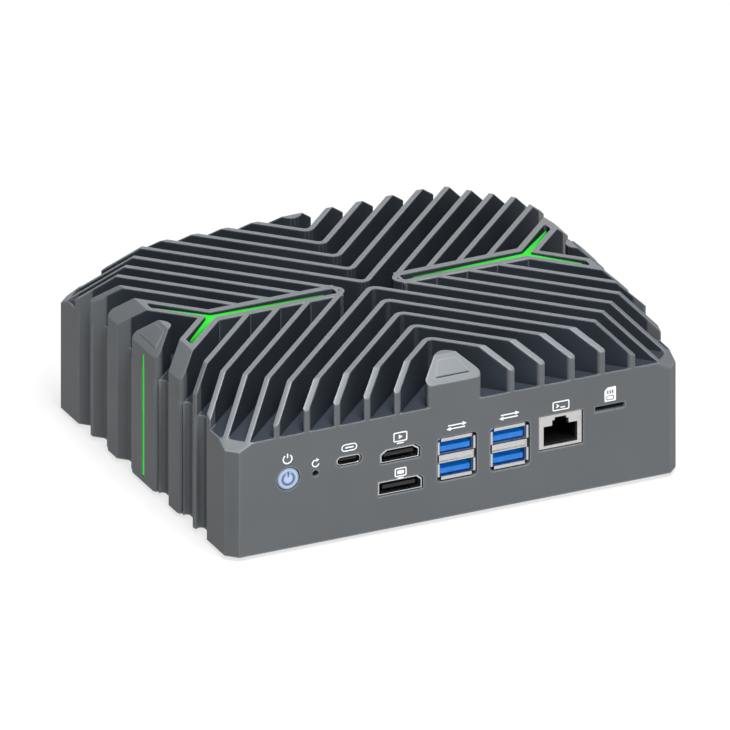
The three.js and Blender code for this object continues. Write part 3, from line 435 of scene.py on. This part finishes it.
def pick_outer_edges(group, geometry):
    """Weights the outward corners of the case; the hollow, its mouth and the rib ends stay sharp."""
    def maths(kind, a, b):
        node = group.nodes.new("ShaderNodeMath")
        node.operation = kind
        for socket, value in zip(node.inputs, (a, b)):
            if isinstance(value, bpy.types.NodeSocket):
                group.links.new(value, socket)
            else:
                socket.default_value = value
        return node.outputs[0]

    angle = group.nodes.new("GeometryNodeInputMeshEdgeAngle").outputs["Signed Angle"]
    split = group.nodes.new("ShaderNodeSeparateXYZ")
    group.links.new(group.nodes.new("GeometryNodeInputPosition").outputs[0], split.inputs[0])
    x, y = (maths("ABSOLUTE", split.outputs[axis], 0.0) for axis in "XY")
    z = split.outputs["Z"]

    def below(value, limit):
        return maths("LESS_THAN", value, limit * MM)

    def above(value, limit):
        return maths("GREATER_THAN", value, limit * MM)
    hollow = maths("MULTIPLY", below(x, HOLLOW["half_x"]), below(z, HOLLOW["top"]))
    mouth = below(z, MOUTH_TOP)
    rib_side = maths("MULTIPLY", above(y, RIB_END["from_y"]), below(y, RIB_END["to_y"]))
    rib_end = maths("MULTIPLY", above(x, RIB_END["from_x"]), rib_side)
    sharp = maths("MAXIMUM", maths("MAXIMUM", hollow, mouth), rib_end)
    convex = maths("GREATER_THAN", angle, ROUNDED_ANGLE)
    weight = maths("MULTIPLY", convex, maths("SUBTRACT", 1.0, sharp))
    store = group.nodes.new("GeometryNodeStoreNamedAttribute")
    store.data_type = "FLOAT"
    store.domain = "EDGE"
    store.inputs["Name"].default_value = "bevel_weight_edge"
    group.links.new(geometry, store.inputs["Geometry"])
    group.links.new(weight, store.inputs["Value"])
    return store.outputs[0]


SMOOTH = geometry_group("shade_smooth", shade_smooth)
OUTER_EDGES = geometry_group("outer_edges", pick_outer_edges)


def soften(obj, radius_mm):
    """Joins the split faces, rounds the sharp edges, splits faces with many corners and levels the
    normals of flat faces."""
    weld = obj.modifiers.new("join_faces", "WELD")
    weld.merge_threshold = WELD_GAP
    bevel_by = "ANGLE"
    if obj.name in ("heatsink_case", "bottom_cover"):
        flat = obj.modifiers.new("merge_flat", "DECIMATE")
        flat.decimate_type = "DISSOLVE"
        flat.angle_limit = FLAT_ANGLE
    if obj.name == "heatsink_case":
        obj.modifiers.new("outer_edges", "NODES").node_group = OUTER_EDGES
        bevel_by = "WEIGHT"
    bevel = obj.modifiers.new("round_edges", "BEVEL")
    bevel.width = radius_mm * MM
    bevel.segments = ROUNDING_STEPS
    bevel.limit_method = bevel_by
    bevel.angle_limit = ROUNDED_ANGLE
    bevel.use_clamp_overlap = False
    split = obj.modifiers.new("split_large", "TRIANGULATE")
    split.min_vertices = LARGE_FACE
    split.ngon_method = "BEAUTY"
    obj.modifiers.new("smooth", "NODES").node_group = SMOOTH
    normals = obj.modifiers.new("face_normals", "WEIGHTED_NORMAL")
    normals.weight = FLAT_FACE_WEIGHT
    normals.keep_sharp = True


def finish_of(name):
    start = max((s for s in FINISHES if name.startswith(s)), key=len)
    return FINISHES[start]


for node_name, node in NODES.items():
    material, radius = finish_of(node_name)
    node.data.materials.clear()
    node.data.materials.append(material)
    soften(node, radius)


# ---------------------------------------------------------------- new pieces

def build(name, mesh_of, material, body):
    """A new piece from a function that fills a bmesh, in millimetres."""
    bm = bmesh.new()
    mesh_of(bm)
    bmesh.ops.scale(bm, vec=(MM, MM, MM), verts=bm.verts)
    bmesh.ops.recalc_face_normals(bm, faces=bm.faces)
    mesh = bpy.data.meshes.new(name)
    bm.to_mesh(mesh)
    bm.free()
    obj = bpy.data.objects.new(name, mesh)
    bpy.context.scene.collection.objects.link(obj)
    mesh.materials.append(material)
    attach(obj, body)


def slab(bm, outline, y0, y1):
    """Closed prism of an outline in X and Z, between two heights along Y."""
    front = [bm.verts.new((x, y0, z)) for x, z in outline]
    back = [bm.verts.new((x, y1, z)) for x, z in outline]
    bm.faces.new(front)
    bm.faces.new(back[::-1])
    for i in range(len(front)):
        j = (i + 1) % len(front)
        bm.faces.new((front[i], back[i], back[j], front[j]))


def arc(x, z, r, start, end, steps=20):
    """Points on a circle, in degrees anticlockwise from +X."""
    turns = [math.radians(start + (end - start) * i / steps) for i in range(steps + 1)]
    return [(x + r * math.cos(t), z + r * math.sin(t)) for t in turns]


def rounded_box(x, z, half_w, half_h, r, steps=4):
    points = []
    for sx, sz, start in ((1, 1, 0), (-1, 1, 90), (-1, -1, 180), (1, -1, 270)):
        points += arc(x + sx * (half_w - r), z + sz * (half_h - r), r, start, start + 90, steps)
    return points


def stroke(bm, path, width, y0, y1, closed=False):
    """A line of even width along a path, as one closed body."""
    count = len(path)
    left, right = [], []
    for i, point in enumerate(path):
        here = Vector(point)
        before = Vector(path[(i - 1) % count]) if closed or i else None
        after = Vector(path[(i + 1) % count]) if closed or i < count - 1 else None
        d0 = (here - before).normalized() if before is not None else (after - here).normalized()
        d1 = (after - here).normalized() if after is not None else d0
        along = (d0 + d1).normalized()
        side = Vector((-along.y, along.x))
        reach = width / 2 / max(0.3, side.dot(Vector((-d0.y, d0.x))))
        left.append(here + side * reach)
        right.append(here - side * reach)
    rings = [[bm.verts.new((a.x, y, a.y)) for y in (y0, y1) for a in pair] for pair in zip(left, right)]
    for i in range(count if closed else count - 1):
        a, b = rings[i], rings[(i + 1) % count]
        for j, k in ((0, 1), (1, 3), (3, 2), (2, 0)):
            bm.faces.new((a[j], a[k], b[k], b[j]))
    if not closed:
        for ring in (rings[0], rings[-1]):
            bm.faces.new((ring[0], ring[1], ring[3], ring[2]))


# mm, outer and inner face of the printed ink
INK_OUT = FACE_Y - 0.045
INK_IN = FACE_Y + 0.01
SECOND_INK_OUT = INK_OUT - 0.02       # ink printed on other ink
SECOND_INK_IN = INK_OUT + 0.005

# mm, middle of each sign: across the front face, and up from the base of the case
SIGN_AT = {
    "power": (-61.6, 32.9), "reset": (-51.3, 29.3), "type_c": (-38.9, 32.8), "screen": (-20.1, 33.0),
    "display": (-20.0, 20.0), "data_1": (0.6, 32.8), "data_2": (20.0, 32.8), "console": (39.0, 32.8),
    "card": (57.1, 33.4), "button": (-61.3, 25.6),
}
BUTTON_RING = {"radius": 3.05, "width": 0.5}    # mm
BUTTON_CENTRE_RADIUS = 1.5
BUTTON_SIGN_RADIUS = 2.1
ROUND_STEPS = 35                      # sides of a full circle, less the one that closes it
FULL_ROUND = 350                      # degrees from its first point to its last


def sign_at(key):
    x, z = SIGN_AT[key]
    return x, z + LIFT


def power_sign(bm, x, z, r, width, y0, y1):
    stroke(bm, arc(x, z, r, 125, 415, 28), width, y0, y1)
    stroke(bm, [(x, z + r * 0.25), (x, z + r * 1.25)], width, y0, y1)


def reset_sign(bm, x, z, r, width):
    stroke(bm, arc(x, z, r, 70, 350, 22), width, INK_OUT, INK_IN)
    tip = Vector((x + r * math.cos(math.radians(70)), z + r * math.sin(math.radians(70))))
    slab(bm, [(tip.x - 0.1, tip.y + 0.75), (tip.x + 0.95, tip.y + 0.1), (tip.x - 0.1, tip.y - 0.6)],
         INK_OUT, INK_IN)


def screen_sign(bm, x, z, w, h, line, filled):
    stroke(bm, rounded_box(x, z, w / 2, h / 2, 0.4), line, INK_OUT, INK_IN, closed=True)
    foot, half = z - h / 2 - 0.75, w * 0.28
    stroke(bm, [(x - half, foot), (x + half, foot)], line, INK_OUT, INK_IN)
    if filled:
        slab(bm, rounded_box(x, z, w / 2 - 0.75, h / 2 - 0.75, 0.2), INK_OUT, INK_IN)
    else:
        slab(bm, [(x - 0.55, z - 0.8), (x + 0.85, z), (x - 0.55, z + 0.8)], INK_OUT, INK_IN)


def data_sign(bm, x, z):
    """Generic two-way data mark: two offset bars with arrow heads."""
    for s in (1, -1):
        level = z + 0.62 * s
        stroke(bm, [(x - 3.1 * s, level), (x + 2.2 * s, level)], 0.42, INK_OUT, INK_IN)
        slab(bm, [(x + 2.2 * s, level + 0.75), (x + 3.7 * s, level), (x + 2.2 * s, level - 0.75)],
             INK_OUT, INK_IN)


def pill_sign(bm, x, z):
    stroke(bm, rounded_box(x, z, 2.7, 1.15, 1.1, 6), 0.4, INK_OUT, INK_IN, closed=True)
    stroke(bm, [(x - 1.5, z), (x + 1.5, z)], 0.5, INK_OUT, INK_IN)


def console_sign(bm, x, z):
    stroke(bm, rounded_box(x, z, 2.9, 1.5, 0.35), 0.4, INK_OUT, INK_IN, closed=True)
    stroke(bm, [(x - 1.7, z + 0.6), (x - 0.9, z), (x - 1.7, z - 0.6)], 0.38, INK_OUT, INK_IN)
    stroke(bm, [(x - 0.2, z - 0.6), (x + 1.5, z - 0.6)], 0.38, INK_OUT, INK_IN)


def card_shape(bm, x, z):
    """Card outline with one cut corner."""
    low, high, left, right, cut = z - 2.6, z + 2.6, x - 2.1, x + 2.1, 1.2
    slab(bm, [(left, low), (right, low), (right, high), (left + cut, high), (left, high - cut)],
         INK_OUT, INK_IN)


def card_marks(bm, x, z):
    """Contacts and a label frame, printed on the card."""
    for dx in (-0.9, 0.0, 0.9):
        stroke(bm, [(x + dx, z + 0.2), (x + dx, z + 1.5)], 0.5, SECOND_INK_OUT, SECOND_INK_IN)
    stroke(bm, rounded_box(x, z - 1.25, 1.25, 0.7, 0.2), 0.3, SECOND_INK_OUT, SECOND_INK_IN, closed=True)


def printed_signs():
    def sign(name, fill, material=WHITE_INK):
        build(name, fill, material, CHASSIS)
    sign("print_power", lambda bm: power_sign(bm, *sign_at("power"), 1.6, 0.45, INK_OUT, INK_IN))
    sign("print_reset", lambda bm: reset_sign(bm, *sign_at("reset"), 1.2, 0.4))
    sign("print_type_c", lambda bm: pill_sign(bm, *sign_at("type_c")))
    sign("print_screen", lambda bm: screen_sign(bm, *sign_at("screen"), 4.7, 3.1, 0.42, False))
    sign("print_display", lambda bm: screen_sign(bm, *sign_at("display"), 4.0, 2.8, 0.42, True))
    sign("print_data_1", lambda bm: data_sign(bm, *sign_at("data_1")))
    sign("print_data_2", lambda bm: data_sign(bm, *sign_at("data_2")))
    sign("print_console", lambda bm: console_sign(bm, *sign_at("console")))
    sign("print_card", lambda bm: card_shape(bm, *sign_at("card")))
    sign("print_card_marks", lambda bm: card_marks(bm, *sign_at("card")), GREY_INK)


def button_sign():
    """Power mark on the button, inside a pale ring and around a pale centre."""
    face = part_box("power_button")[0].y / MM
    x, z = sign_at("button")
    outer, inner, sign_outer = face - 0.02, face + 0.01, face - 0.04

    def circle(radius):
        return arc(x, z, radius, 0, FULL_ROUND, ROUND_STEPS)

    def ring(bm):
        stroke(bm, circle(BUTTON_RING["radius"]), BUTTON_RING["width"], outer, inner, closed=True)

    def centre(bm):
        slab(bm, circle(BUTTON_CENTRE_RADIUS), outer, inner)

    def power(bm):
        power_sign(bm, x, z, BUTTON_SIGN_RADIUS, 0.5, sign_outer, inner)

    def mark(name, fill, material):
        build(name, fill, material, POWER_BODY)
    mark("button_ring", ring, PALE_INK)
    mark("button_centre", centre, PALE_INK)
    mark("button_sign", power, BLUE_INK)


printed_signs()
button_sign()


# ---------------------------------------------------------------- studio

def floor():
    bm = bmesh.new()
    bmesh.ops.create_grid(bm, x_segments=8, y_segments=8, size=4.0)
    mesh = bpy.data.meshes.new("studio_floor")
    bm.to_mesh(mesh)
    bm.free()
    obj = bpy.data.objects.new("studio_floor", mesh)
    bpy.context.scene.collection.objects.link(obj)
    mesh.materials.append(studio_floor("floor_paper"))


def softbox(name, at, aim, size, power):
    """Rectangular area light that the camera doesn't see."""
    data = bpy.data.lights.new(name, "AREA")
    data.shape = "RECTANGLE"
    data.size, data.size_y = size
    data.energy = power
    obj = bpy.data.objects.new(name, data)
    obj.location = at
    obj.rotation_mode = "QUATERNION"
    obj.rotation_quaternion = (Vector(aim) - Vector(at)).to_track_quat("-Z", "Y")
    obj.visible_camera = False
    bpy.context.scene.collection.objects.link(obj)


def dome(low, high):
    """Soft room light: bright overhead, fading to nothing towards both ends of X. It is pale below the
    horizon, which shows where a low view passes under the floor."""
    world = bpy.data.worlds.new("studio_dome")
    world.use_nodes = True
    tree = world.node_tree
    where = tree.nodes.new("ShaderNodeTexCoord").outputs["Generated"]
    split = tree.nodes.new("ShaderNodeSeparateXYZ")
    tree.links.new(where, split.inputs[0])

    def ramp(value, low_in, high_in, low_out, high_out):
        node = tree.nodes.new("ShaderNodeMapRange")
        limits = (low_in, high_in, low_out, high_out)
        for key, limit in zip(("From Min", "From Max", "To Min", "To Max"), limits):
            node.inputs[key].default_value = limit
        tree.links.new(value, node.inputs["Value"])
        return node.outputs["Result"]

    def maths(kind, *values):
        node = tree.nodes.new("ShaderNodeMath")
        node.operation = kind
        for socket, value in zip(node.inputs, values):
            tree.links.new(value, socket)
        return node.outputs[0]
    height = ramp(split.outputs["Z"], 0.0, 0.9, low, high)
    beside = ramp(maths("ABSOLUTE", split.outputs["X"]), *DOME_FADE, 1.0, 0.0)
    under = ramp(split.outputs["Z"], *UNDER_FADE, 0.0, UNDER_GLOW)
    strength = maths("MAXIMUM", maths("MULTIPLY", height, beside), under)
    tree.links.new(strength, tree.nodes["Background"].inputs["Strength"])
    tree.nodes["Background"].inputs["Color"].default_value = DOME_TONE
    bpy.context.scene.world = world


def camera():
    """Level view from the front left and above, with parallel lines kept parallel."""
    right = Vector((math.cos(TURN), -math.sin(TURN), 0))
    back = Vector((-math.sin(TURN) * math.cos(RISE), -math.cos(TURN) * math.cos(RISE), math.sin(RISE)))
    up = back.cross(right)
    data = bpy.data.cameras.new("camera")
    data.type = "ORTHO"
    data.ortho_scale = FRAME_WIDTH
    data.clip_end = 10
    obj = bpy.data.objects.new("camera", data)
    aim = Vector(AIM) + right * FRAME_SHIFT[0] + up * FRAME_SHIFT[1]
    obj.location = aim + back * CAMERA_AWAY
    obj.rotation_mode = "QUATERNION"
    obj.rotation_quaternion = (-back).to_track_quat("-Z", "Y")
    bpy.context.scene.collection.objects.link(obj)
    bpy.context.scene.camera = obj


DOME_TONE = (0.97, 0.985, 1.0, 1.0)
DOME_FADE = (0.1, 0.6)           # |X| of a direction where the room light starts and stops fading
UNDER_FADE = (-0.02, -0.05)      # Z of a direction over which the pale part below the horizon comes in
UNDER_GLOW = 0.95
TURN = math.radians(25.05)       # camera, to the left of the front
RISE = math.radians(25.0)        # and above level
AIM = (0, 0, 0.0015)             # m
FRAME_WIDTH = 0.24333            # m, width of the picture at the object
FRAME_SHIFT = (-0.00107, 0.02403)   # m, middle of the picture, right and up from AIM
CAMERA_AWAY = 0.7                # m

floor()
dome(0.02, 0.62)
softbox("key_light", (-0.05, -0.42, 1.0), (0, 0, 0), (0.4, 0.9), 20.5)
softbox("front_light", (0.1, -1.24, 0.45), (0, 0, 0.02), (0.5, 0.5), 1.5)
softbox("back_light", (0.45, 1.0, 0.6), (0, 0, 0.05), (1.1, 0.5), 4.5)
camera()
bpy.context.scene.view_settings.view_transform = "Standard"
